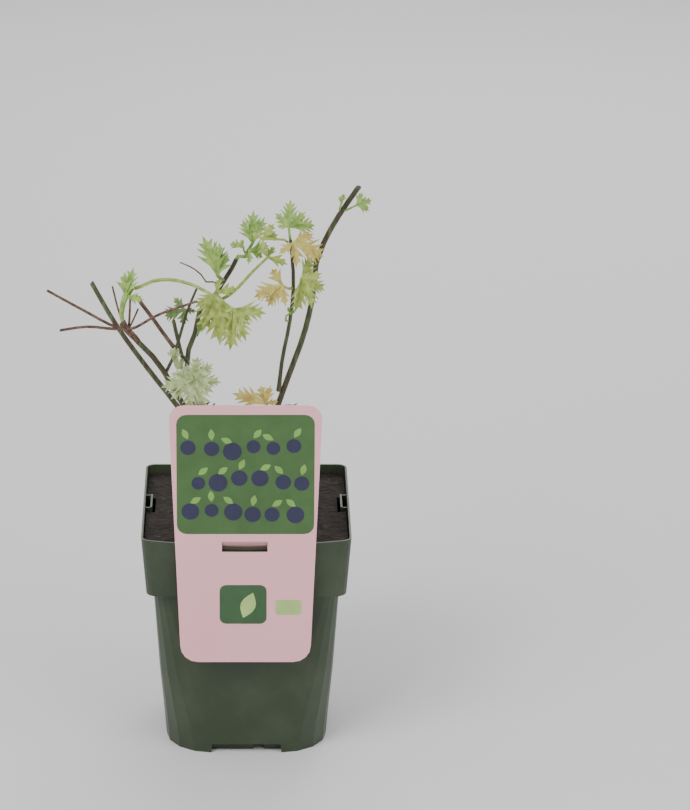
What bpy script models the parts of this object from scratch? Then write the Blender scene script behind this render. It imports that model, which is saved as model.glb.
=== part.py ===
"""A thornless bramble in a square nursery pot, with a hang label on the front rim.

The origin lies under the middle of the pot, which stands on z = 0. The label and the front face -Y, and
+X is to the right of someone who looks at the label. Sizes are in millimetres and become metres when a
piece is finished. Every limb is a tapering tube through a few points, and every leaf follows one rule:
leaflets spread from a node, and each is a folded, arching blade with pointed lobes along its midrib.
"""

import math
import random

import bmesh
import bpy
from mathutils import Matrix, Vector
from mathutils.bvhtree import BVHTree
from mathutils.geometry import interpolate_bezier

MM = 0.001
GAP = 0.3

for leftover in list(bpy.data.objects):
    bpy.data.objects.remove(leftover, do_unlink=True)


# Materials

def material(name, colour, roughness):
    made = bpy.data.materials.new(name)
    made.use_nodes = True
    shader = made.node_tree.nodes["Principled BSDF"]
    shader.inputs["Base Color"].default_value = (*colour, 1.0)
    shader.inputs["Roughness"].default_value = roughness
    made.diffuse_color = (*colour, 1.0)
    return made


POT_PLASTIC = material("pot_plastic", (0.050, 0.088, 0.035), 0.45)
PEAT = material("peat", (0.012, 0.008, 0.006), 0.95)
CARD = material("card", (0.88, 0.70, 0.71), 0.5)
CANE_BARK = material("cane_bark", (0.035, 0.050, 0.015), 0.6)
DRY_STALK = material("dry_stalk", (0.11, 0.060, 0.040), 0.8)
YOUNG_LEAF = material("young_leaf", (0.40, 0.55, 0.13), 0.7)


# Making and joining pieces

def new_object(name, mesh, surface):
    """Finishes one piece: its mesh turned from millimetres to metres, and one material."""
    mesh.transform(Matrix.Scale(MM, 4))
    mesh.materials.clear()
    mesh.materials.append(surface)
    made = bpy.data.objects.new(name, mesh)
    bpy.context.scene.collection.objects.link(made)
    return made


def mesh_of(bm, name):
    bmesh.ops.recalc_face_normals(bm, faces=bm.faces)
    mesh = bpy.data.meshes.new(name)
    bm.to_mesh(mesh)
    bm.free()
    return mesh


def keep_main_body(mesh):
    """Drops the loose scraps and sealed hollows that a Boolean can leave beside the main body."""
    bm = bmesh.new()
    bm.from_mesh(mesh)
    unseen = set(bm.verts)
    bodies = []
    while unseen:
        body, edge = set(), [unseen.pop()]
        while edge:
            vert = edge.pop()
            body.add(vert)
            near = {link.other_vert(vert) for link in vert.link_edges} & unseen
            unseen -= near
            edge.extend(near)
        bodies.append(body)
    main = max(bodies, key=len)
    bmesh.ops.delete(bm, geom=[vert for vert in bm.verts if vert not in main], context="VERTS")
    bm.to_mesh(mesh)
    bm.free()


def combine(meshes, operation, base=None):
    """One closed mesh from overlapping closed meshes, or the base mesh cut by them."""
    work = bpy.data.collections.new("boolean_work")
    bpy.context.scene.collection.children.link(work)
    first = base or meshes[0]
    others = meshes if base else meshes[1:]
    target = bpy.data.objects.new("boolean_target", first)
    bpy.context.scene.collection.objects.link(target)
    for mesh in others:
        work.objects.link(bpy.data.objects.new("boolean_operand", mesh))
    if others:
        joint = target.modifiers.new("join", "BOOLEAN")
        joint.operation = operation
        joint.operand_type = "COLLECTION"
        joint.collection = work
        joint.solver = "EXACT"
        bpy.context.view_layer.update()
        with bpy.context.temp_override(object=target, active_object=target):
            bpy.ops.object.modifier_apply(modifier=joint.name)
    joined = target.data
    keep_main_body(joined)
    bpy.data.objects.remove(target)
    for operand in list(work.objects):
        bpy.data.objects.remove(operand)
    bpy.data.collections.remove(work)
    return joined


def box(low, high):
    bm = bmesh.new()
    centre = (Vector(low) + Vector(high)) / 2
    size = Vector(high) - Vector(low)
    bmesh.ops.create_cube(bm, size=1.0)
    bmesh.ops.transform(bm, verts=bm.verts, matrix=Matrix.Translation(centre) @ Matrix.Diagonal((*size, 1.0)))
    return bm


def cylinder(centre, radius, low, high, sides=16):
    bm = bmesh.new()
    place = Matrix.Translation((centre[0], centre[1], (low + high) / 2))
    bmesh.ops.create_cone(bm, cap_ends=True, segments=sides, radius1=radius, radius2=radius,
                          depth=high - low, matrix=place)
    return bm


def loft(loops):
    """A closed skin over loops of equally many points, with a flat cap on the first and the last."""
    bm = bmesh.new()
    rows = [[bm.verts.new(point) for point in loop] for loop in loops]
    for lower, upper in zip(rows, rows[1:]):
        for i in range(len(lower)):
            j = (i + 1) % len(lower)
            bm.faces.new((lower[i], lower[j], upper[j], upper[i]))
    bm.faces.new(list(reversed(rows[0])))
    bm.faces.new(rows[-1])
    return bm


def turned(bm, quarter):
    """The same piece on another side of the pot, a number of quarter turns round."""
    bmesh.ops.rotate(bm, verts=bm.verts, cent=(0, 0, 0), matrix=Matrix.Rotation(quarter * math.pi / 2, 3, "Z"))
    return bm


# Pot: a square container with a deep collar, a raised floor and a notched skirt
WALL = 1.2
RIM_HALF = 65.0
POT_HEIGHT = 151.0
COLLAR_FOOT = 112.5
COLLAR_FOOT_HALF = 62.2
BODY_TOP = 109.0
BODY_TOP_HALF = 57.6
SKIRT_HALF = 51.0
BASE_CORNER = 30.0
FLOOR_UNDER = 6.5
FLOOR_TOP = 8.0
RIM_BOW = 5.0
RIM_DIP = 2.5
SIDE_STEPS = 6
CORNER_STEPS = 4

# Heights, half widths and corner radii up the outside of the body
BODY_LEVELS = ((0.0, SKIRT_HALF, BASE_CORNER), (18.0, 52.1, 27.0), (55.0, 54.7, 18.0),
               (BODY_TOP, BODY_TOP_HALF, 9.0))
COLLAR_LEVELS = ((111.0, 58.0, 8.5), (COLLAR_FOOT, COLLAR_FOOT_HALF, 7.0), (POT_HEIGHT, RIM_HALF, 6.0))


def slack(x, height):
    """How far the hanging label has drawn the front of the collar out of its straight line, from 0 to 1."""
    up_collar = min(max((height - COLLAR_FOOT) / (POT_HEIGHT - COLLAR_FOOT), 0.0), 1.0)
    across = max(1.0 - (x / RIM_HALF) ** 2, 0.0) ** 2
    return up_collar * across


def square_loop(half, corner, height, follow=1.0):
    """Points of a square with rounded corners, anticlockwise from above, with its front side bowed."""
    points = []
    straight = half - corner
    for side in range(4):
        turn = Matrix.Rotation(side * math.pi / 2, 3, "Z")
        for step in range(SIDE_STEPS + 1):
            x = straight * (2 * step / SIDE_STEPS - 1)
            points.append(turn @ Vector((x, -half, height)))
        for step in range(1, CORNER_STEPS):
            angle = math.pi / 2 * step / CORNER_STEPS
            x = straight + corner * math.sin(angle)
            points.append(turn @ Vector((x, -straight - corner * math.cos(angle), height)))
    for point in points:
        if point.y < 0 and abs(point.x) <= straight + 1e-6:
            amount = slack(point.x, height)
            point.y -= RIM_BOW * amount * follow
            point.z -= RIM_DIP * amount
    return points


def inner_half(half):
    return half - WALL


def pot_shell():
    underside = [(FLOOR_UNDER, 49.7, 28.8), (0.0, 49.8, 28.8)]
    outside = list(BODY_LEVELS + COLLAR_LEVELS)
    inside = [(POT_HEIGHT, inner_half(RIM_HALF), 4.8), (COLLAR_FOOT + 1.3, inner_half(COLLAR_FOOT_HALF), 5.8),
              (111.6, 56.8, 7.3), (110.0, inner_half(BODY_TOP_HALF), 7.8), (55.0, inner_half(54.7), 16.8),
              (18.0, inner_half(52.1), 25.8), (FLOOR_TOP, 50.2, 26.5)]
    return mesh_of(loft([square_loop(half, corner, height) for height, half, corner
                         in underside + outside + inside]), "pot_shell")


FOOT_LINE = 45.4
FOOT_PLATES = ((-22.0, 4.3), (11.3, 22.0))
FOOT_TOP = 7.2
FOOT_RIB_AT = -11.0
HUB_RADIUS = 8.0
NOTCH_HALF = 22.4
NOTCH_HEIGHT = 6.0
NOTCH_SLANT = 0.8
DRAIN_RADIUS = 4.0
DRAIN_AT = 26.0
POCKET_LENGTH = 22.0
POCKET_CENTRE = 4.0
POCKET_STAND = 3.2
POCKET_LOW = 136.0
POCKET_HIGH = 150.0


def pot_feet():
    """Feet, ribs and the hub under the raised floor, and the label pockets inside the collar."""
    pieces = [cylinder((0, 0), HUB_RADIUS, 0.0, FOOT_TOP)]
    for quarter in range(4):
        for left, right in FOOT_PLATES:
            plate = box((left, -FOOT_LINE, 0.0), (right, -FOOT_LINE + WALL, FOOT_TOP))
            pieces.append(turned(plate, quarter))
        rib = box((FOOT_RIB_AT - WALL / 2, -FOOT_LINE - 1.0, 0.6), (FOOT_RIB_AT + WALL / 2, -30.0, FOOT_TOP))
        pieces.append(turned(rib, quarter))
        spoke = box((-WALL / 2, -FOOT_LINE + WALL / 2, 2.0), (WALL / 2, 0.0, FOOT_TOP - 0.2))
        pieces.append(turned(spoke, quarter))
    for side in (-1, 1):
        low, high = POCKET_CENTRE - POCKET_LENGTH / 2, POCKET_CENTRE + POCKET_LENGTH / 2
        stand = inner_half(RIM_HALF) - POCKET_STAND
        faces = sorted((side * stand, side * (stand - WALL)))
        pieces.append(box((faces[0], low, POCKET_LOW), (faces[1], high, POCKET_HIGH)))
        reach = sorted((side * (stand - WALL / 2), side * (inner_half(RIM_HALF) - 0.2)))
        for end in (low, high - WALL):
            pieces.append(box((reach[0], end, POCKET_LOW + 0.4), (reach[1], end + WALL, POCKET_HIGH - 0.4)))
    return [mesh_of(piece, "pot_foot") for piece in pieces]


def pot_cutters():
    """The notch in each side of the skirt, and the drain holes."""
    cutters = []
    for quarter in range(4):
        notch = box((-NOTCH_HALF, -SKIRT_HALF - 2.0, -1.0), (NOTCH_HALF, -48.0, NOTCH_HEIGHT))
        for vert in notch.verts:
            if vert.co.z > 0:
                vert.co.x -= math.copysign(NOTCH_SLANT, vert.co.x)
        cutters.append(turned(notch, quarter))
        cutters.append(turned(cylinder((DRAIN_AT, -DRAIN_AT), DRAIN_RADIUS, 5.0, 9.5, 12), quarter))
    return [mesh_of(cutter, "pot_cutter") for cutter in cutters]


pot = combine(pot_feet(), "UNION", base=pot_shell())
pot = combine(pot_cutters(), "DIFFERENCE", base=pot)
new_object("nursery_pot", pot, POT_PLASTIC)


# Soil: peat up to a few millimetres under the rim, higher towards the front
SOIL_LEVEL = 147.0
SOIL_FRONT_RISE = 1.3
SOIL_LUMP = 0.9
CROWN_RADIUS = 20.0
SOIL_EDGE_HALF = 63.0
SOIL_FOLLOWS_BOW = 0.3
POCKET_WELL_LOW = POCKET_LOW - 1.0


def ground(x, y):
    """Height of the peat, lumpy but level round the crown where the canes come up."""
    away = min(max((math.hypot(x, y) - CROWN_RADIUS) / CROWN_RADIUS, 0.0), 1.0)
    lumps = math.sin(0.31 * x + 1.3) * math.cos(0.27 * y) + 0.5 * math.sin(0.61 * x - 0.53 * y)
    return SOIL_LEVEL + away * (SOIL_LUMP * lumps - SOIL_FRONT_RISE * y / SOIL_EDGE_HALF)


def soil_body():
    sides = [(FLOOR_TOP + GAP, 49.8, 26.5), (18.0, 50.5, 25.8), (55.0, 53.1, 17.0), (109.8, 56.0, 8.0),
             (112.0, 56.4, 7.6), (114.6, 60.5, 6.3)]
    loops = [square_loop(half, corner, height, SOIL_FOLLOWS_BOW) for height, half, corner in sides]
    for half in (SOIL_EDGE_HALF, 56.0, 46.0, 35.0, 24.0, 12.0):
        loop = square_loop(half, half * 0.3 if half < SOIL_EDGE_HALF else 5.0, SOIL_LEVEL, SOIL_FOLLOWS_BOW)
        for point in loop:
            point.z = ground(point.x, point.y)
        loops.append(loop)
    wells = []
    for side in (-1, 1):
        faces = sorted((side * 57.5, side * 70.0))
        well = box((faces[0], POCKET_CENTRE - POCKET_LENGTH / 2 - 1.0, POCKET_WELL_LOW),
                   (faces[1], POCKET_CENTRE + POCKET_LENGTH / 2 + 1.0, POT_HEIGHT + 5.0))
        wells.append(mesh_of(well, "pocket_well"))
    return combine(wells, "DIFFERENCE", base=mesh_of(loft(loops), "soil"))


new_object("potting_soil", soil_body(), PEAT)


# Label: a card hung on the front rim by a neck that bends over the rim and down behind it
CARD_THICK = 0.6
CARD_FRONT = -(RIM_HALF + RIM_BOW + GAP + CARD_THICK)
CARD_TOP, CARD_BOTTOM = 242.0, 72.0
CARD_TOP_HALF, CARD_BOTTOM_HALF = 46.5, 40.5
CARD_TOP_CORNER, CARD_BOTTOM_CORNER = 9.0, 11.0
CARD_CENTRE = -0.5
NECK_LEFT, NECK_RIGHT = -15.0, 13.0
OPENING_LOW, OPENING_HIGH = 146.0, 153.0
NECK_END = 131.0


def card_outline():
    """The card's rounded trapezoid, anticlockwise seen from the front."""
    corners = ((-CARD_BOTTOM_HALF, CARD_BOTTOM, CARD_BOTTOM_CORNER, 180), (CARD_BOTTOM_HALF, CARD_BOTTOM,
               CARD_BOTTOM_CORNER, 270), (CARD_TOP_HALF, CARD_TOP, CARD_TOP_CORNER, 0),
               (-CARD_TOP_HALF, CARD_TOP, CARD_TOP_CORNER, 90))
    points = []
    for x, z, radius, start in corners:
        middle_x = x - math.copysign(radius, x)
        middle_z = z + (radius if z == CARD_BOTTOM else -radius)
        for step in range(5):
            angle = math.radians(start + 90 * step / 4)
            points.append((CARD_CENTRE + middle_x + radius * math.cos(angle), middle_z + radius * math.sin(angle)))
    return points


def flat_card():
    """The card as a filled and extruded curve, with the opening that the rim passes through."""
    curve = bpy.data.curves.new("card_curve", "CURVE")
    curve.dimensions = "2D"
    curve.fill_mode = "BOTH"
    curve.extrude = CARD_THICK / 2
    opening = ((NECK_LEFT, OPENING_LOW), (NECK_RIGHT, OPENING_LOW),
               (NECK_RIGHT, OPENING_HIGH), (NECK_LEFT, OPENING_HIGH))
    for outline in (card_outline(), opening):
        spline = curve.splines.new("POLY")
        spline.points.add(len(outline) - 1)
        for point, (x, z) in zip(spline.points, outline):
            point.co = (x, z, 0.0, 1.0)
        spline.use_cyclic_u = True
    holder = bpy.data.objects.new("card_curve", curve)
    bm = bmesh.new()
    bm.from_mesh(holder.to_mesh())
    bpy.data.objects.remove(holder)
    bmesh.ops.remove_doubles(bm, verts=bm.verts, dist=1e-4)
    stand_up = Matrix.Translation((0, CARD_FRONT + CARD_THICK / 2, 0)) @ Matrix.Rotation(math.pi / 2, 4, "X")
    bmesh.ops.transform(bm, verts=bm.verts, matrix=stand_up)
    return mesh_of(bm, "card")


def behind_rim(height):
    """The y of the neck's middle where it lies against the inside of the bowed collar."""
    wall = inner_half(COLLAR_FOOT_HALF + (RIM_HALF - COLLAR_FOOT_HALF) * (height - COLLAR_FOOT)
                      / (POT_HEIGHT - COLLAR_FOOT))
    return -(wall + RIM_BOW * 0.9 * slack(0.0, height)) + GAP + CARD_THICK / 2


def neck_strip():
    """The neck: out of the card above the opening, over the rim, and down between the rim and the peat."""
    over = [(CARD_FRONT + CARD_THICK / 2, OPENING_HIGH + 1.5), (CARD_FRONT + CARD_THICK / 2 + 0.2, OPENING_HIGH),
            (behind_rim(POT_HEIGHT) - 0.4, POT_HEIGHT - 0.6), (behind_rim(148.0) + 0.5, 147.6)]
    down = [(behind_rim(height) + 0.5, height) for height in (142.0, 137.0, NECK_END)]
    path = over + down
    loops = []
    for i, (y, z) in enumerate(path):
        before, after = path[max(i - 1, 0)], path[min(i + 1, len(path) - 1)]
        along = Vector((after[0] - before[0], after[1] - before[1])).normalized()
        off = Vector((-along.y, along.x)) * CARD_THICK / 2
        left, right = NECK_LEFT + 0.2, NECK_RIGHT - 0.2
        loops.append([Vector((left, y - off.x, z - off.y)), Vector((right, y - off.x, z - off.y)),
                      Vector((right, y + off.x, z + off.y)), Vector((left, y + off.x, z + off.y))])
    return mesh_of(loft(loops), "neck")


new_object("label_card", combine([flat_card(), neck_strip()], "UNION"), CARD)


# Limbs

def smooth(points, spacing):
    """A smooth curve through a few points, as a list of points about that far apart."""
    knots = [Vector(point) for point in points]
    spans = [(after - before).length for before, after in zip(knots, knots[1:])]
    slopes = [(after - before) / span for before, after, span in zip(knots, knots[1:], spans)]
    leans = [slopes[0]]
    for i in range(1, len(slopes)):
        leans.append((slopes[i - 1] * spans[i] + slopes[i] * spans[i - 1]) / (spans[i - 1] + spans[i]))
    leans.append(slopes[-1])
    curve = []
    for i, span in enumerate(spans):
        pull = span / 3
        steps = max(round(span / spacing), 1)
        curve += interpolate_bezier(knots[i], knots[i] + leans[i] * pull, knots[i + 1] - leans[i + 1] * pull,
                                    knots[i + 1], steps + 1)[:-1]
    return curve + [knots[-1]]


def directions(curve):
    return [(curve[min(i + 1, len(curve) - 1)] - curve[max(i - 1, 0)]).normalized() for i in range(len(curve))]


def tube(curve, radii, sides, level=None, slant=0.0):
    """A closed tube. A level cuts its foot flat at that height, and a slant cuts its tip askew."""
    loops = []
    across = None
    for centre, along, radius in zip(curve, directions(curve), radii):
        across = (across or along.orthogonal()) - along * (across or along.orthogonal()).dot(along)
        across.normalize()
        beside = along.cross(across)
        angles = [2 * math.pi * k / sides for k in range(sides)]
        loops.append([centre + radius * (across * math.cos(a) + beside * math.sin(a)) for a in angles])
    if level is not None:
        lean = directions(curve)[0]
        loops[0] = [point + lean * (level - point.z) / lean.z for point in loops[0]]
    tip = directions(curve)[-1]
    loops[-1] = [point + tip * slant * math.cos(2 * math.pi * k / sides) for k, point in enumerate(loops[-1])]
    return mesh_of(loft(loops), "tube")


LIMB_SIDES = 8
LIMB_STEP = 10.0
STEM_STEP = 6.0
trees = {}


def tree_of(mesh):
    return BVHTree.FromPolygons([vert.co.copy() for vert in mesh.vertices],
                                [tuple(face.vertices) for face in mesh.polygons])


def clear_start(centre, along, radius, carrier):
    """How far along a stem's first direction its foot comes GAP clear of the limb that carries it."""
    beside = along.orthogonal().normalized()
    other = along.cross(beside)
    rim = [radius * (beside * math.cos(a) + other * math.sin(a)) for a in (k * math.pi / 4 for k in range(8))]
    moved = 0.0
    while moved < 12.0:
        foot = [centre + along * moved + offset for offset in [Vector()] + rim]
        nearest = [(point, *carrier.find_nearest(point)[:2]) for point in foot]
        if all((point - at).dot(normal) > 0 and (point - at).length >= GAP for point, at, normal in nearest):
            return moved
        moved += 0.05
    raise ValueError("a stem does not come clear of its limb")


def rooted(points, radius, carrier, spacing):
    """A smooth curve whose first point is moved along it until its foot is clear of its carrier."""
    first, second = Vector(points[0]), Vector(points[1])
    along = (second - first).normalized()
    start = first + along * clear_start(first, along, radius, trees[carrier])
    later = [Vector(point) for point in points[1:]]
    while len(later) > 1 and (later[0] - start).dot(along) < 1.2 * radius:
        later.pop(0)
    return smooth([start] + later, spacing)


def limb(name, points, foot, tip, carrier=None, flare=1.25, slant=0.6, surface=CANE_BARK):
    """One tapering cane. The first lean on the ground, the rest start on another limb."""
    level = None
    if carrier:
        curve = rooted(points, foot, carrier, LIMB_STEP)
    else:
        level = SOIL_LEVEL + GAP
        curve = smooth([(*points[0], level)] + list(points[1:]), LIMB_STEP)
    last = len(curve) - 1
    radii = [foot + (tip - foot) * i / last for i in range(len(curve))]
    radii[0] *= flare
    mesh = tube(curve, radii, LIMB_SIDES, level, slant)
    trees[name] = tree_of(mesh)
    new_object(name, mesh, surface)


limb("left_long_cane", [(-4, 5), (-43, 10, 211), (-63, 16, 236), (-82, 22, 262), (-97, 29, 287)], 1.9, 1.5)
limb("left_crown_cane", [(-6, -4), (-41, -5, 221), (-58, -8, 251), (-67, -9, 261)], 1.9, 1.8, slant=0.0)
limb("middle_cane", [(-11, 2), (-32, 0, 217), (-37, -1, 242), (-36, 2, 252), (-32, 4, 262), (-29, 7, 276),
                     (-24, 8, 280), (-14, 11, 294), (-9, 12, 302), (-6, 13, 308)], 1.9, 1.4)
limb("right_cane", [(6, 1), (20, 4, 215), (26, 6, 232), (37, 11, 263), (42, 15, 288), (43.5, 17, 304),
                    (48, 17, 317), (57, 15, 335), (69, 12, 354.5)], 1.9, 1.7, slant=0.9)
limb("right_inner_cane", [(20, 3.6, 222), (22, 2, 243), (27, -1, 272), (29, -5, 294), (28, -10, 318), (27, -12, 328)],
     1.3, 1.1, carrier="right_cane", slant=0.2)
limb("middle_spur", [(-37, -1, 246), (-40, -4.5, 250), (-42, -5.5, 259), (-45, -7, 274)], 1.3, 1.2,
     carrier="middle_cane")
limb("back_cane", [(-52, -7, 240), (-49.5, -3, 240), (-46, 2, 246), (-42, 8, 257), (-37, 13, 273), (-31, 17, 287)],
     1.2, 0.8, carrier="left_crown_cane")
limb("back_spur", [(-44, 5, 251), (-47, 9, 253.5), (-58, 16, 267), (-69.5, 22, 281)], 1.3, 1.3,
     carrier="back_cane", surface=DRY_STALK)


# Leaves
LEAF_THICK = 0.45
ROOT_THICK = 0.9
ROOT_HALF = 0.5
LOBES_START = 0.26
LOBES_END = 0.80
SINUS_HALF = 0.10
LOBE_REACH = (0.42, 0.36, 0.25)
LOBE_ANGLES = (34, 29, 24)
FOLD = 16
ARCH = 35


def leaflet_rows(lobes):
    """The flat outline of a leaflet of length 1: rows across the midrib, and the lobe tip after each row."""
    rows = [(0.0, ROOT_HALF, None)]
    for k in range(lobes + 1):
        along = LOBES_START + (LOBES_END - LOBES_START) * k / lobes
        half = SINUS_HALF * (1.0 - 0.4 * (k / lobes) ** 2)
        tip = None
        if k < lobes:
            place = k / max(lobes - 1, 1) * (len(LOBE_REACH) - 1)
            low = int(place)
            high = min(low + 1, len(LOBE_REACH) - 1)
            reach = LOBE_REACH[low] + (LOBE_REACH[high] - LOBE_REACH[low]) * (place - low)
            angle = math.radians(LOBE_ANGLES[low] + (LOBE_ANGLES[high] - LOBE_ANGLES[low]) * (place - low))
            tip = (along + reach * math.cos(angle), half + reach * math.sin(angle))
        rows.append((along, half, tip))
    return rows


def leaflet(node, facing, heading, length, seed):
    """A closed blade: it leaves the node along the heading, folds up along its midrib and arches back."""
    chance = random.Random(seed)
    rise = math.radians(chance.uniform(-8, 8))
    roll = math.radians(chance.uniform(-14, 14))
    arch = math.radians(ARCH * chance.uniform(0.6, 1.3))
    fold = math.radians(FOLD * chance.uniform(0.6, 1.5))
    along = (heading * math.cos(rise) + facing * math.sin(rise)).normalized()
    out = Matrix.Rotation(roll, 3, along) @ (facing - along * facing.dot(along)).normalized()
    beside = along.cross(out)
    lobes = 3 if length > 16 else 2

    def place(t, s, lift):
        turn = arch * t
        run, drop = (math.sin(turn), 1 - math.cos(turn)) if arch else (t, 0.0)
        spine = node + length / arch * (along * run - out * drop)
        normal = out * math.cos(turn) + along * math.sin(turn)
        rim = length * abs(s) * math.sin(fold)
        return spine + beside * (length * s * math.cos(fold)) + normal * (rim + lift)

    rows = leaflet_rows(lobes)
    bm = bmesh.new()
    tips = [[bm.verts.new(place(tip[0], side * tip[1], 0.0)) for side in (-1, 1)] if tip else None
            for _, _, tip in rows]
    apex = bm.verts.new(place(1.0, 0.0, 0.0))
    sheets = []
    for lift_side in (1, -1):
        sheet = []
        for index, (t, half, _) in enumerate(rows):
            across = half / length if index == 0 else half
            lift = lift_side * (ROOT_THICK if index == 0 else LEAF_THICK) / 2
            sheet.append([bm.verts.new(place(t, s, lift)) for s in (-across, 0.0, across)])
        sheets.append(sheet)
    for flip, sheet in enumerate(sheets):
        polygons = []
        for lower, upper, pair in zip(sheet, sheet[1:], tips):
            polygons.append((lower[0], lower[1], upper[1], upper[0]))
            polygons.append((lower[1], lower[2], upper[2], upper[1]))
            if pair:
                polygons.append((lower[2], pair[1], upper[2]))
                polygons.append((lower[0], upper[0], pair[0]))
        last = sheet[-1]
        polygons.append((last[0], last[1], apex))
        polygons.append((last[1], last[2], apex))
        for polygon in polygons:
            bm.faces.new(polygon[::-1] if flip else polygon)
    over, under = sheets
    for side in (0, 2):
        bm.faces.new((over[0][side], under[0][side], under[0][1], over[0][1]))
        for k, pair in enumerate(tips[:-1]):
            if pair:
                tip = pair[side // 2]
                bm.faces.new((over[k][side], under[k][side], tip))
                bm.faces.new((over[k + 1][side], under[k + 1][side], tip))
            else:
                bm.faces.new((over[k][side], over[k + 1][side], under[k + 1][side], under[k][side]))
        bm.faces.new((over[-1][side], under[-1][side], apex))
    return mesh_of(bm, "leaflet")


def ball(centre, radius):
    bm = bmesh.new()
    bmesh.ops.create_icosphere(bm, subdivisions=1, radius=radius, matrix=Matrix.Translation(centre))
    return mesh_of(bm, "ball")


def leaf_axes(yaw, pitch):
    """Which way a leaf's face looks, turned to the right by yaw and up by pitch, with its up and right."""
    yaw, pitch = math.radians(yaw), math.radians(pitch)
    facing = Vector((math.sin(yaw) * math.cos(pitch), -math.cos(yaw) * math.cos(pitch), math.sin(pitch)))
    up = (Vector((0, 0, 1)) - facing * facing.z).normalized()
    return facing, up, up.cross(facing)


def reaches(mesh, names):
    """Whether a mesh meets another node or comes within GAP of it."""
    own = tree_of(mesh)
    for name in names:
        other = trees[name]
        if own.overlap(other):
            return True
        if any(other.find_nearest(vert.co, GAP)[0] is not None for vert in mesh.vertices):
            return True
    return False


def mass(name, carrier, stems, leaves=(), surface=YOUNG_LEAF):
    """One node of foliage: stems that branch from one foot, and leaves with their roots sunk in.

    A stem is (points, foot radius, tip radius), and the first one starts on the carrier. A leaf is
    (node, yaw, pitch, leaflets), and a leaflet is its angle from the leaf's up, clockwise, and its length.
    """
    meshes = []
    for index, (points, foot, tip) in enumerate(stems):
        if index == 0:
            curve = rooted(points, foot, carrier, STEM_STEP)
        else:
            curve = smooth(points, STEM_STEP)
        last = len(curve) - 1
        radii = [foot + (tip - foot) * i / last for i in range(last + 1)]
        meshes.append(tube(curve, radii, 6 if foot > 1.0 else 5, slant=0.3 * tip))
    for number, (node, yaw, pitch, leaflets) in enumerate(leaves):
        facing, up, right = leaf_axes(yaw, pitch)
        node = Vector(node)
        meshes.append(ball(node, 1.05))
        for order, (angle, length) in enumerate(leaflets):
            turn = math.radians(angle)
            heading = up * math.cos(turn) + right * math.sin(turn)
            blade = leaflet(node - heading * 0.3, facing, heading, length, f"{name} {number} {order}")
            if not reaches(blade, list(trees)):
                meshes.append(blade)
    joined = combine(meshes, "UNION")
    trees[name] = tree_of(joined)
    new_object(name, joined, surface)


mass("left_crown", "left_crown_cane",
     [([(-66, -9, 260), (-69, -9.4, 264), (-75, -10, 271), (-76.5, -10, 274)], 2.0, 2.6),
      ([(-75, -10, 269.5), (-79, -11, 271), (-100, -16, 284), (-122, -22, 299)], 1.1, 0.9),
      ([(-75, -10, 270), (-81, -10.5, 270), (-98, -12, 272), (-115, -16, 271)], 1.0, 0.9),
      ([(-74.5, -8.5, 270), (-78, -3, 276), (-83, 4, 293)], 0.7, 0.6),
      ([(-73, -8.5, 268), (-72.5, -3, 273), (-72, 4, 286)], 0.8, 0.7),
      ([(-73, -9, 269), (-71, -5, 272), (-67, -1, 280)], 0.7, 0.6),
      ([(-74, -10, 269), (-68, -12.5, 272), (-58, -15, 279), (-30.5, -22, 292)], 1.0, 0.8)],
     surface=DRY_STALK)
mass("left_shoot", "left_crown",
     [([(-76.5, -10, 273.5), (-77, -11, 280), (-76, -13, 287), (-74, -13, 293)], 1.3, 2.0),
      ([(-75, -12, 289), (-72, -10, 293), (-70, -9, 296)], 1.4, 1.1)],
     [((-74, -13.4, 292.2), -10, 10, ((-9, 16), (12, 19), (98, 12)))])
mass("arching_leaf", "left_shoot",
     [([(-70.5, -9.3, 295.5), (-65, -10, 297.5), (-58, -12, 301.5), (-48, -16, 304), (-34, -22, 303), (-21, -28, 298),
        (-8, -34, 291)], 1.3, 0.9)],
     [((-8, -34, 291), 5, 35, ((98, 22), (136, 15), (-176, 27), (160, 22), (-101, 6)))])
mass("pleated_leaf", "middle_cane",
     [([(-13.5, 11, 294.6), (-16, 7, 297), (-18, 2, 301)], 1.1, 1.2)],
     [((-18, 2, 301), 5, 5, ((-16, 27), (-5, 22), (8, 21), (27, 16)))])
mass("centre_spray", "middle_cane",
     [([(-17.5, 10, 289.5), (-18, 3, 290), (-18.5, -6, 292)], 1.0, 1.0)],
     [((-18.5, -6, 292), -10, 25, ((8, 10.5), (75, 15), (-129, 17), (-164, 27), (170, 34), (152, 33)))])
mass("top_left_leaves", "middle_cane",
     [([(-6, 13, 307.5), (-5, 12, 310), (-1, 9, 310.5), (1, 7, 315), (4, 2, 322)], 1.3, 0.9),
      ([(0, 8, 312), (-1.5, 2, 317), (-2, -1, 320)], 0.7, 0.6),
      ([(2, 5, 317), (2.5, -3, 319), (2, -8, 320)], 0.7, 0.6)],
     [((4, 2, 322), -10, 15, ((-3, 21), (-30, 16.5), (23, 18))),
      ((-2, -1, 320), -25, 30, ((-80, 12), (-30, 7))),
      ((2, -8, 320), 20, 35, ((79, 17), (112, 12), (-168, 9)))])
mass("top_leaf", "right_inner_cane",
     [([(27, -12, 327), (26.5, -12, 331), (26, -10, 336)], 0.9, 0.8)],
     [((26, -10, 336), 5, 15, ((4, 18), (-42, 13), (85, 20), (52, 15), (-84, 8)))])
mass("link_leaf", "right_inner_cane",
     [([(27.5, -11.5, 325), (23, -14, 329), (17, -16, 330), (10, -16, 330)], 0.8, 0.7)],
     [((10, -16, 330), 10, 25, ((38, 14), (74, 12), (-50, 9), (-176, 10)))])
mass("yellow_leaf", "right_inner_cane",
     [([(28, -10, 318), (28.5, -15, 322), (28.5, -24, 330)], 0.9, 0.9)],
     [((28.5, -24, 330), 15, 35, ((113, 26), (66, 18), (176, 16), (-118, 12)))])
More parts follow.
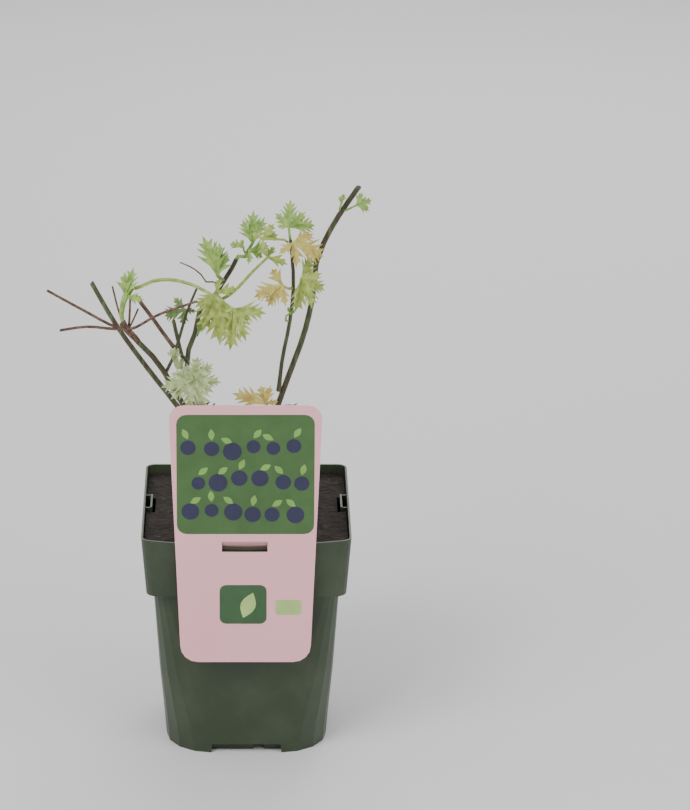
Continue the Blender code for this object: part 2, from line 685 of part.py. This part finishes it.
mass("straight_leaf", "middle_cane",
     [([(-23, 8.5, 281.5), (-18, 4, 283), (-12, 2, 287), (5, -6, 307), (13, -12, 317)], 1.1, 0.8)],
     [((13, -12, 317), 0, 30, ((107, 14), (27, 10), (-26, 7)))])
mass("low_left_leaf", "right_inner_cane",
     [([(29, -5, 295), (26, -13, 297), (22, -24, 303)], 0.9, 0.9)],
     [((22, -24, 303), -15, 30, ((-41, 16), (-112, 22), (-145, 18), (165, 14)))])
mass("low_right_leaf", "right_inner_cane",
     [([(29, -4.5, 292), (32, -9, 296), (34, -16, 305)], 0.9, 0.9)],
     [((34, -16, 305), 15, 25, ((35, 18), (84, 14), (117, 19), (161, 21), (-170, 23)))])
mass("tip_leaf", "right_cane",
     [([(58, 15, 337), (61, 12, 339.5), (68, 6, 345)], 0.7, 0.6)],
     [((68, 6, 345), 15, 20, ((28, 10), (80, 12.5), (114, 10)))])
mass("tip_leaflet", "right_cane",
     [([(58, 15, 337.5), (57.5, 11.5, 341), (58.5, 9, 345.5)], 0.7, 0.6)],
     [((58.5, 9, 345.5), -10, 20, ((-20, 5), (12, 7), (62, 7)))])
mass("star_leaf", "middle_cane",
     [([(-36.7, -0.5, 240.5), (-37, -9, 243), (-37.5, -25, 249), (-37, -44, 255), (-34.5, -64, 257)], 1.6, 2.6),
      ([(-36, -56, 256), (-33, -59, 254.5), (-31, -61, 253)], 1.2, 1.0)],
     [((-32, -60, 254), -8, 38, ((0, 19), (42, 17), (86, 18), (118, 15), (155, 22), (-174, 20),
                                 (-128, 19), (-101, 22), (-64, 18)))])
mass("low_bud", "middle_spur",
     [([(-39.5, -4, 249), (-41, -9, 244), (-42.5, -12, 246), (-44.5, -13, 253)], 1.3, 2.1)],
     [((-44.5, -13.5, 253.5), -10, 20, ((-75, 6), (-38, 6), (-8, 6.5), (30, 6), (75, 5)))])
mass("back_leaf", "back_cane",
     [([(-38, 12, 270), (-38.5, 15, 271), (-38.5, 18, 273)], 0.8, 0.8)],
     [((-38.5, 18, 273), -20, 20, ((-112, 19), (-52, 12), (96, 8), (-172, 12.5)))])
mass("folded_leaf", "middle_cane",
     [([(-32, 4, 261), (-30.5, 0, 262), (-30, -4, 265)], 0.7, 0.7)],
     [((-30, -4, 265), -40, 0, ((28, 11), (10, 8)))])
mass("foot_leaf", "right_cane",
     [([(19, 4, 210), (16.5, -2, 213), (12, -14, 222)], 0.8, 0.9)],
     [((12, -14, 222), 0, 30, ((-70, 23), (-17, 15), (14, 13), (75, 9)))])
mass("curled_shoot", "right_inner_cane",
     [([(27, -1, 272), (24.5, -4, 273), (24.5, -6, 277), (27, -7, 279)], 0.7, 0.6)],
     [((27, -7, 279), 0, 10, ((-20, 5), (60, 5)))])
mass("dry_tendril", "middle_cane",
     [([(-15.5, 10.5, 292), (-21, 11, 293.5), (-25, 8, 294.5), (-28, 7, 299.5), (-35, 5, 305.5), (-41, 4, 308.5)],
       0.6, 0.45)],
     surface=DRY_STALK)
mass("rear_left_leaf", "middle_cane",
     [([(-24, 1, 190), (-25.5, 7, 191.5), (-27, 16, 196), (-26, 26, 203)], 0.9, 0.9)],
     [((-26, 26, 203), 165, 35, ((0, 16), (70, 15), (-70, 16), (130, 12), (-135, 12)))])
mass("rear_right_leaf", "right_cane",
     [([(13, 3, 186), (17, 10, 189), (22, 17, 194), (26, 24, 201)], 0.9, 0.9)],
     [((26, 24, 201), 200, 35, ((0, 17), (65, 15), (-68, 14), (140, 12)))])
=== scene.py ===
"""Looks of the potted thornless bramble: plastic, peat, printed card, bark and young leaves."""

import math
import random

import bmesh
import bpy
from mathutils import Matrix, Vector


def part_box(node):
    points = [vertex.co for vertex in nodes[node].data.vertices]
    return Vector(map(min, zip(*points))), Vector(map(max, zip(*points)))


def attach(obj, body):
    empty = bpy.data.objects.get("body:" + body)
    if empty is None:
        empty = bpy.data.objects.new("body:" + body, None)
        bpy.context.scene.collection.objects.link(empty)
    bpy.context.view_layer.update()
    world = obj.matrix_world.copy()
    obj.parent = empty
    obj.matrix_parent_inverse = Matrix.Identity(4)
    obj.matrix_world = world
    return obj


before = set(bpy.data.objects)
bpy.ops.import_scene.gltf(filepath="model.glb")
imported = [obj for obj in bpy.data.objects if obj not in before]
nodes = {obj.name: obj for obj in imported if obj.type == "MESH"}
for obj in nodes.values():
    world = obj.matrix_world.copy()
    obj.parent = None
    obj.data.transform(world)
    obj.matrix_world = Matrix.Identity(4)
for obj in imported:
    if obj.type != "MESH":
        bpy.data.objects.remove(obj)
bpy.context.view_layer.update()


# Camera: it stands in front of the label and looks down on the rim by about 20 degrees, through a
# long lens. The shift sets the plant to the left of the frame.
SENSOR_WIDTH = 36.0
CAMERA_TILT = math.radians(20.4)
CAMERA_DISTANCE = 2.25
CAMERA_TARGET_HEIGHT = 0.216
CAMERA_LENS = 159.8
CAMERA_SHIFT_X = 0.1218

camera_data = bpy.data.cameras.new("camera")
camera_data.lens = CAMERA_LENS
camera_data.sensor_width = SENSOR_WIDTH
camera_data.shift_x = CAMERA_SHIFT_X
camera = bpy.data.objects.new("camera", camera_data)
camera.location = (0.0, -CAMERA_DISTANCE * math.cos(CAMERA_TILT),
                   CAMERA_TARGET_HEIGHT + CAMERA_DISTANCE * math.sin(CAMERA_TILT))
camera.rotation_euler = (math.pi / 2 - CAMERA_TILT, 0.0, 0.0)
bpy.context.scene.collection.objects.link(camera)
bpy.context.scene.camera = camera


# Studio: a plain pale floor, three soft area lamps and an even white sky. A lamp is its name, place,
# size and power, and every lamp is aimed at the middle of the plant.
FLOOR_HALF = 4.0
FLOOR_COLOUR = (0.82, 0.82, 0.82)
FLOOR_ROUGHNESS = 0.9
SKY_STRENGTH = 0.55
LAMPS = (("key", (-1.1, -1.4, 1.7), 1.2, 34.0), ("fill", (1.5, -1.2, 1.0), 1.6, 16.0),
         ("back", (0.3, 1.6, 1.4), 1.4, 18.0))
LAMP_AIM = Vector((0.0, 0.0, 0.18))


class Value:
    """A shader socket that takes part in Python sums."""

    def __init__(self, shader, socket):
        self.shader = shader
        self.socket = socket

    def math(self, operation, left, right):
        return self.shader.node("ShaderNodeMath", {"operation": operation}, {0: left, 1: right})[0]

    def __add__(self, other):
        return self.math("ADD", self, other)

    def __mul__(self, other):
        return self.math("MULTIPLY", self, other)

    __radd__ = __add__
    __rmul__ = __mul__


class Finish:
    """One material, whose nodes are added by a single method."""

    def __init__(self, name, roughness, **sockets):
        self.made = bpy.data.materials.new(name)
        self.made.use_nodes = True
        self.tree = self.made.node_tree
        self.surface = self.tree.nodes["Principled BSDF"]
        self.surface.inputs["Roughness"].default_value = roughness
        for socket, amount in sockets.items():
            self.surface.inputs[socket.replace("_", " ")].default_value = amount
        self.place = self.node("ShaderNodeTexCoord", {}, {})["Object"]

    def node(self, kind, settings, sockets):
        """Adds a node, sets it, joins its sockets, and returns its outputs by name or number."""
        added = self.tree.nodes.new(kind)
        for setting, amount in settings.items():
            if setting == "stops":
                ramp = added.color_ramp.elements
                while len(ramp) < len(amount):
                    ramp.new(0.5)
                for stop, (position, colour) in zip(ramp, amount):
                    stop.position = position
                    stop.color = (*colour, 1.0)
            else:
                setattr(added, setting, amount)
        for socket, amount in sockets.items():
            if isinstance(amount, Value):
                self.tree.links.new(amount.socket, added.inputs[socket])
            else:
                added.inputs[socket].default_value = amount
        named = {output.name: Value(self, output) for output in added.outputs}
        named.update({number: Value(self, output) for number, output in enumerate(added.outputs)})
        return named

    def noise(self, scale, detail=4.0):
        sockets = {"Vector": self.place, "Scale": scale, "Detail": detail}
        return self.node("ShaderNodeTexNoise", {}, sockets)[0]

    def colours(self, amount, stops):
        return self.node("ShaderNodeValToRGB", {"stops": stops}, {0: amount})["Color"]

    def feed(self, socket, value):
        self.tree.links.new(value.socket, self.surface.inputs[socket])

    def relief(self, height, strength, distance):
        bump = self.node("ShaderNodeBump", {}, {"Height": height, "Strength": strength, "Distance": distance})
        self.feed("Normal", bump["Normal"])


def dress(name, finish):
    """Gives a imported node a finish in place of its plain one."""
    nodes[name].data.materials.clear()
    nodes[name].data.materials.append(finish.made)


floor_mesh = bpy.data.meshes.new("studio_floor")
floor_mesh.from_pydata([(-FLOOR_HALF, -FLOOR_HALF, 0), (FLOOR_HALF, -FLOOR_HALF, 0),
                        (FLOOR_HALF, FLOOR_HALF, 0), (-FLOOR_HALF, FLOOR_HALF, 0)], [], [(0, 1, 2, 3)])
floor = bpy.data.objects.new("studio_floor", floor_mesh)
bpy.context.scene.collection.objects.link(floor)
pale = Finish("pale_floor", FLOOR_ROUGHNESS)
pale.surface.inputs["Base Color"].default_value = (*FLOOR_COLOUR, 1.0)
floor_mesh.materials.append(pale.made)

for lamp_name, lamp_place, lamp_size, lamp_power in LAMPS:
    lamp_data = bpy.data.lights.new(lamp_name, "AREA")
    lamp_data.size = lamp_size
    lamp_data.energy = lamp_power
    lamp = bpy.data.objects.new(lamp_name, lamp_data)
    lamp.location = lamp_place
    lamp.rotation_euler = (LAMP_AIM - Vector(lamp_place)).to_track_quat("-Z", "Y").to_euler()
    bpy.context.scene.collection.objects.link(lamp)

world = bpy.data.worlds.new("studio")
world.use_nodes = True
sky = world.node_tree.nodes["Background"]
sky.inputs["Color"].default_value = (1.0, 1.0, 1.0, 1.0)
sky.inputs["Strength"].default_value = SKY_STRENGTH
bpy.context.scene.world = world


# Pot: one thin shell of moulded plastic in dark green. It has the mould's fine grain, and dull dusty
# patches from handling, which are also rougher.
POT_GREEN = (0.026, 0.042, 0.018)
POT_DUSTY = (0.042, 0.062, 0.030)
SCUFF_SCALE = 38.0
MOULD_GRAIN_SCALE = 900.0
CLEAN_ROUGHNESS = 0.34
SCUFF_ROUGHNESS = 0.2
SCUFF_RELIEF = 0.4

pot = Finish("pot_plastic", 0.42)
scuffs = pot.noise(SCUFF_SCALE, 6.0)
grain = pot.noise(MOULD_GRAIN_SCALE, 2.0)
pot.feed("Base Color", pot.colours(scuffs, ((0.45, POT_GREEN), (0.75, POT_DUSTY))))
pot.feed("Roughness", CLEAN_ROUGHNESS + scuffs * SCUFF_ROUGHNESS)
pot.relief(grain + scuffs * SCUFF_RELIEF, 0.25, 0.0004)
dress("nursery_pot", pot)


# Soil: moist peat that fills the pot to just under its rim. Its crumbs are of many sizes. Its mid colour is
# the peat's own brown; the hollows between crumbs are painted darker as shade, and the highest crumbs are
# painted paler as light.
PEAT_HOLLOW_SHADE = (0.006, 0.004, 0.003)
PEAT_MOIST = (0.022, 0.014, 0.010)
PEAT_CRUMB_TOP_LIGHT = (0.075, 0.050, 0.035)
CRUMB_SCALE = 220.0

peat = Finish("peat", 0.95)
crumbs = peat.noise(CRUMB_SCALE, 8.0)
# Colour follows crumb height, like the relief: painted shade in the hollows, the peat's own brown, then
# painted light on the highest crumbs.
peat.feed("Base Color", peat.colours(crumbs, ((0.3, PEAT_HOLLOW_SHADE), (0.6, PEAT_MOIST), (0.78, PEAT_CRUMB_TOP_LIGHT))))
peat.relief(crumbs, 1.0, 0.003)
dress("potting_soil", peat)


# Label: a thin coated card that hangs on the front rim by a neck. It is printed pink, with a deep
# green panel of plain berries and two plain blocks. Each print is a thin shell on the card's face.
PINK = (0.86, 0.42, 0.47)
PINK_PALE = (0.88, 0.47, 0.52)
CARD_COAT = 0.15
PANEL_GREEN = (0.050, 0.130, 0.028)
PRINT_PROUD = 0.00012
PRINT_DEPTH = 0.8
INK_UNEVENNESS = 0.82
BERRY_BLUE = (0.014, 0.016, 0.060)
LEAF_GREEN = (0.20, 0.42, 0.08)
BLOCK_DARK = (0.03, 0.10, 0.03)
BLOCK_LIGHT = (0.42, 0.62, 0.20)
CARD_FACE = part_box("label_card")[0][1]

card = Finish("card", 0.38, Coat_Weight=CARD_COAT)
fibres = card.noise(600.0, 3.0)
card.feed("Base Color", card.colours(card.noise(12.0), ((0.3, PINK), (0.8, PINK_PALE))))
card.relief(fibres, 0.08, 0.0002)
dress("label_card", card)


def ink(name, colour):
    """A print colour, slightly uneven as it lies on the card."""
    made = Finish(name, 0.35, Coat_Weight=CARD_COAT)
    darker = tuple(channel * INK_UNEVENNESS for channel in colour)
    made.feed("Base Color", made.colours(made.noise(90.0), ((0.35, darker), (0.7, colour))))
    return made


def printed(name, outlines, finish, layer=1):
    """Flat shapes on the front of the card, each a list of (x, z) in metres. Layer 2 lies on layer 1."""
    bm = bmesh.new()
    for outline in outlines:
        face = bm.faces.new([bm.verts.new((x, CARD_FACE - PRINT_PROUD * layer, z)) for x, z in outline])
        face.normal_update()
        if face.normal.y > 0:
            face.normal_flip()
    shell = bmesh.ops.extrude_face_region(bm, geom=bm.faces[:])
    for moved in shell["geom"]:
        if isinstance(moved, bmesh.types.BMVert):
            moved.co.y += PRINT_PROUD * layer * PRINT_DEPTH
    bmesh.ops.recalc_face_normals(bm, faces=bm.faces)
    mesh = bpy.data.meshes.new(name)
    bm.to_mesh(mesh)
    bm.free()
    mesh.materials.append(finish.made)
    piece = bpy.data.objects.new(name, mesh)
    bpy.context.scene.collection.objects.link(piece)
    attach(piece, "root")


BERRY_SIDES = 20
CORNER_STEPS = 4
SPRIG_STEPS = 6
SPRIG_HALF_WIDTH = 0.26


def disc(x, z, radius):
    angles = [2 * math.pi * k / BERRY_SIDES for k in range(BERRY_SIDES)]
    return [(x + radius * math.cos(angle), z + radius * math.sin(angle)) for angle in angles]


def rounded(left, right, low, high, corner):
    """A rectangle with round corners, anticlockwise from its upper right."""
    outline = []
    centres = ((right - corner, high - corner), (left + corner, high - corner),
               (left + corner, low + corner), (right - corner, low + corner))
    for quarter, (middle_x, middle_z) in enumerate(centres):
        for step in range(CORNER_STEPS + 1):
            angle = math.radians(90 * (quarter + step / CORNER_STEPS))
            outline.append((middle_x + corner * math.cos(angle), middle_z + corner * math.sin(angle)))
    return outline


def sprig(x, z, length, turn):
    """A plain pointed leaf of the print, turned about its foot."""
    outline = []
    for side, steps in ((1, range(SPRIG_STEPS)), (-1, range(SPRIG_STEPS, 0, -1))):
        for step in steps:
            along = step / SPRIG_STEPS
            across = side * SPRIG_HALF_WIDTH * math.sin(math.pi * along)
            outline.append((x + length * (along * math.sin(turn) + across * math.cos(turn)),
                            z + length * (along * math.cos(turn) - across * math.sin(turn))))
    return outline


# Each block is its left, right, low and high edge and its corner radius
PANEL = (-0.0425, 0.0415, 0.158, 0.236, 0.006)
DARK_BLOCK = (-0.0165, 0.0125, 0.098, 0.124, 0.004)
LIGHT_BLOCK = (0.018, 0.034, 0.104, 0.114, 0.002)
BERRY_ROWS, BERRIES_A_ROW = 3, 6
FIRST_BERRY_X, FIRST_BERRY_Z = -0.0345, 0.172
BERRY_PITCH, ROW_PITCH, ROW_STAGGER = 0.0128, 0.021, 0.005
STRAY_X, STRAY_Z = 0.001, 0.002
BERRY_RADII = (0.0042, 0.0058)
BERRY_LEAF_RISE, BERRY_LEAF_LENGTH, BERRY_LEAF_TURN = 0.0055, 0.0075, 1.2

printed("print_panel", [rounded(*PANEL)], ink("ink_panel", PANEL_GREEN))

print_order = random.Random(5)
berries = []
berry_leaves = []
for row in range(BERRY_ROWS):
    for column in range(BERRIES_A_ROW):
        berry_x = FIRST_BERRY_X + column * BERRY_PITCH + (row % 2) * ROW_STAGGER
        berry_x += print_order.uniform(-STRAY_X, STRAY_X)
        berry_z = FIRST_BERRY_Z + row * ROW_PITCH + print_order.uniform(-STRAY_Z, STRAY_Z)
        berries.append(disc(berry_x, berry_z, print_order.uniform(*BERRY_RADII)))
        leaf_turn = print_order.uniform(-BERRY_LEAF_TURN, BERRY_LEAF_TURN)
        berry_leaves.append(sprig(berry_x, berry_z + BERRY_LEAF_RISE, BERRY_LEAF_LENGTH, leaf_turn))
printed("print_berries", berries, ink("ink_berries", BERRY_BLUE), 2)
printed("print_berry_leaves", berry_leaves, ink("ink_leaves", LEAF_GREEN), 2)
printed("print_dark_block", [rounded(*DARK_BLOCK)], ink("ink_dark_block", BLOCK_DARK))
printed("print_light_block", [rounded(*LIGHT_BLOCK)], ink("ink_light_block", BLOCK_LIGHT))
printed("print_block_leaf", [sprig(-0.002, 0.102, 0.018, 0.35)], ink("ink_block_leaf", BLOCK_LIGHT), 2)


# Canes: last year's smooth thornless shoots, cut back. Their thin bark is green with red brown
# streaks, and the noise is drawn out upwards so that the streaks run along the cane.
CANE_GREEN = (0.050, 0.070, 0.020)
CANE_BROWN = (0.060, 0.032, 0.020)
CANE_PALE = (0.13, 0.15, 0.055)
STREAK_STRETCH = (1.0, 1.0, 0.12)
STREAK_SCALE = 420.0
CANES = ("left_long_cane", "left_crown_cane", "middle_cane", "right_cane", "right_inner_cane",
         "middle_spur", "back_cane")

bark = Finish("cane_bark", 0.5)
streaks = bark.node("ShaderNodeMapping", {}, {"Vector": bark.place, "Scale": STREAK_STRETCH})["Vector"]
bark_noise = bark.node("ShaderNodeTexNoise", {}, {"Vector": streaks, "Scale": STREAK_SCALE, "Detail": 5.0})[0]
bark.feed("Base Color", bark.colours(bark_noise, ((0.38, CANE_BROWN), (0.52, CANE_GREEN), (0.75, CANE_PALE))))
bark.relief(bark_noise, 0.5, 0.0008)
for cane in CANES:
    nodes[cane].data.shade_smooth()
    dress(cane, bark)


# Dry stalks: what is left of last year's leaf stalks and one dead spur. They are thin, brown and
# matt, and they stand on the canes as they dried.
DRY_DARK = (0.060, 0.030, 0.020)
DRY_PALE = (0.22, 0.13, 0.085)
DRY_SCALE = 350.0
DRY_STALKS = ("back_spur", "left_crown", "dry_tendril")

dry = Finish("dry_stalk", 0.8)
dry_noise = dry.noise(DRY_SCALE, 6.0)
dry.feed("Base Color", dry.colours(dry_noise, ((0.35, DRY_DARK), (0.7, DRY_PALE))))
dry.relief(dry_noise, 0.7, 0.0008)
for stalk in DRY_STALKS:
    dress(stalk, dry)


# Leaves: young soft blades that have just opened, each spray in one tint. A tint is its shaded and
# its lit colour, which are mottled over the blade. SPRAYS says which tint each spray of leaves has.
LEAF_MOTTLE_SCALE = 260.0
LEAF_TINTS = {
    "fresh": ((0.16, 0.30, 0.05), (0.36, 0.52, 0.12)),
    "olive": ((0.21, 0.29, 0.045), (0.46, 0.55, 0.13)),
    "flushed": ((0.42, 0.30, 0.07), (0.58, 0.55, 0.14)),
    "silvery": ((0.22, 0.30, 0.10), (0.52, 0.60, 0.30)),
    "dark": ((0.09, 0.17, 0.04), (0.22, 0.33, 0.09)),
}
SPRAYS = {
    "fresh": ("top_leaf", "top_left_leaves", "left_shoot", "pleated_leaf", "tip_leaf", "tip_leaflet",
              "curled_shoot"),
    "olive": ("arching_leaf", "centre_spray", "link_leaf", "straight_leaf", "low_right_leaf"),
    "flushed": ("yellow_leaf", "low_left_leaf", "foot_leaf"),
    "silvery": ("star_leaf", "low_bud"),
    "dark": ("back_leaf", "folded_leaf", "rear_left_leaf", "rear_right_leaf"),
}

for tint, (shaded, lit) in LEAF_TINTS.items():
    blade = Finish("leaf_" + tint, 0.55)
    mottle = blade.noise(LEAF_MOTTLE_SCALE, 5.0)
    blade.feed("Base Color", blade.colours(mottle, ((0.35, shaded), (0.68, lit))))
    blade.relief(mottle, 0.6, 0.0007)
    for spray in SPRAYS[tint]:
        dress(spray, blade)
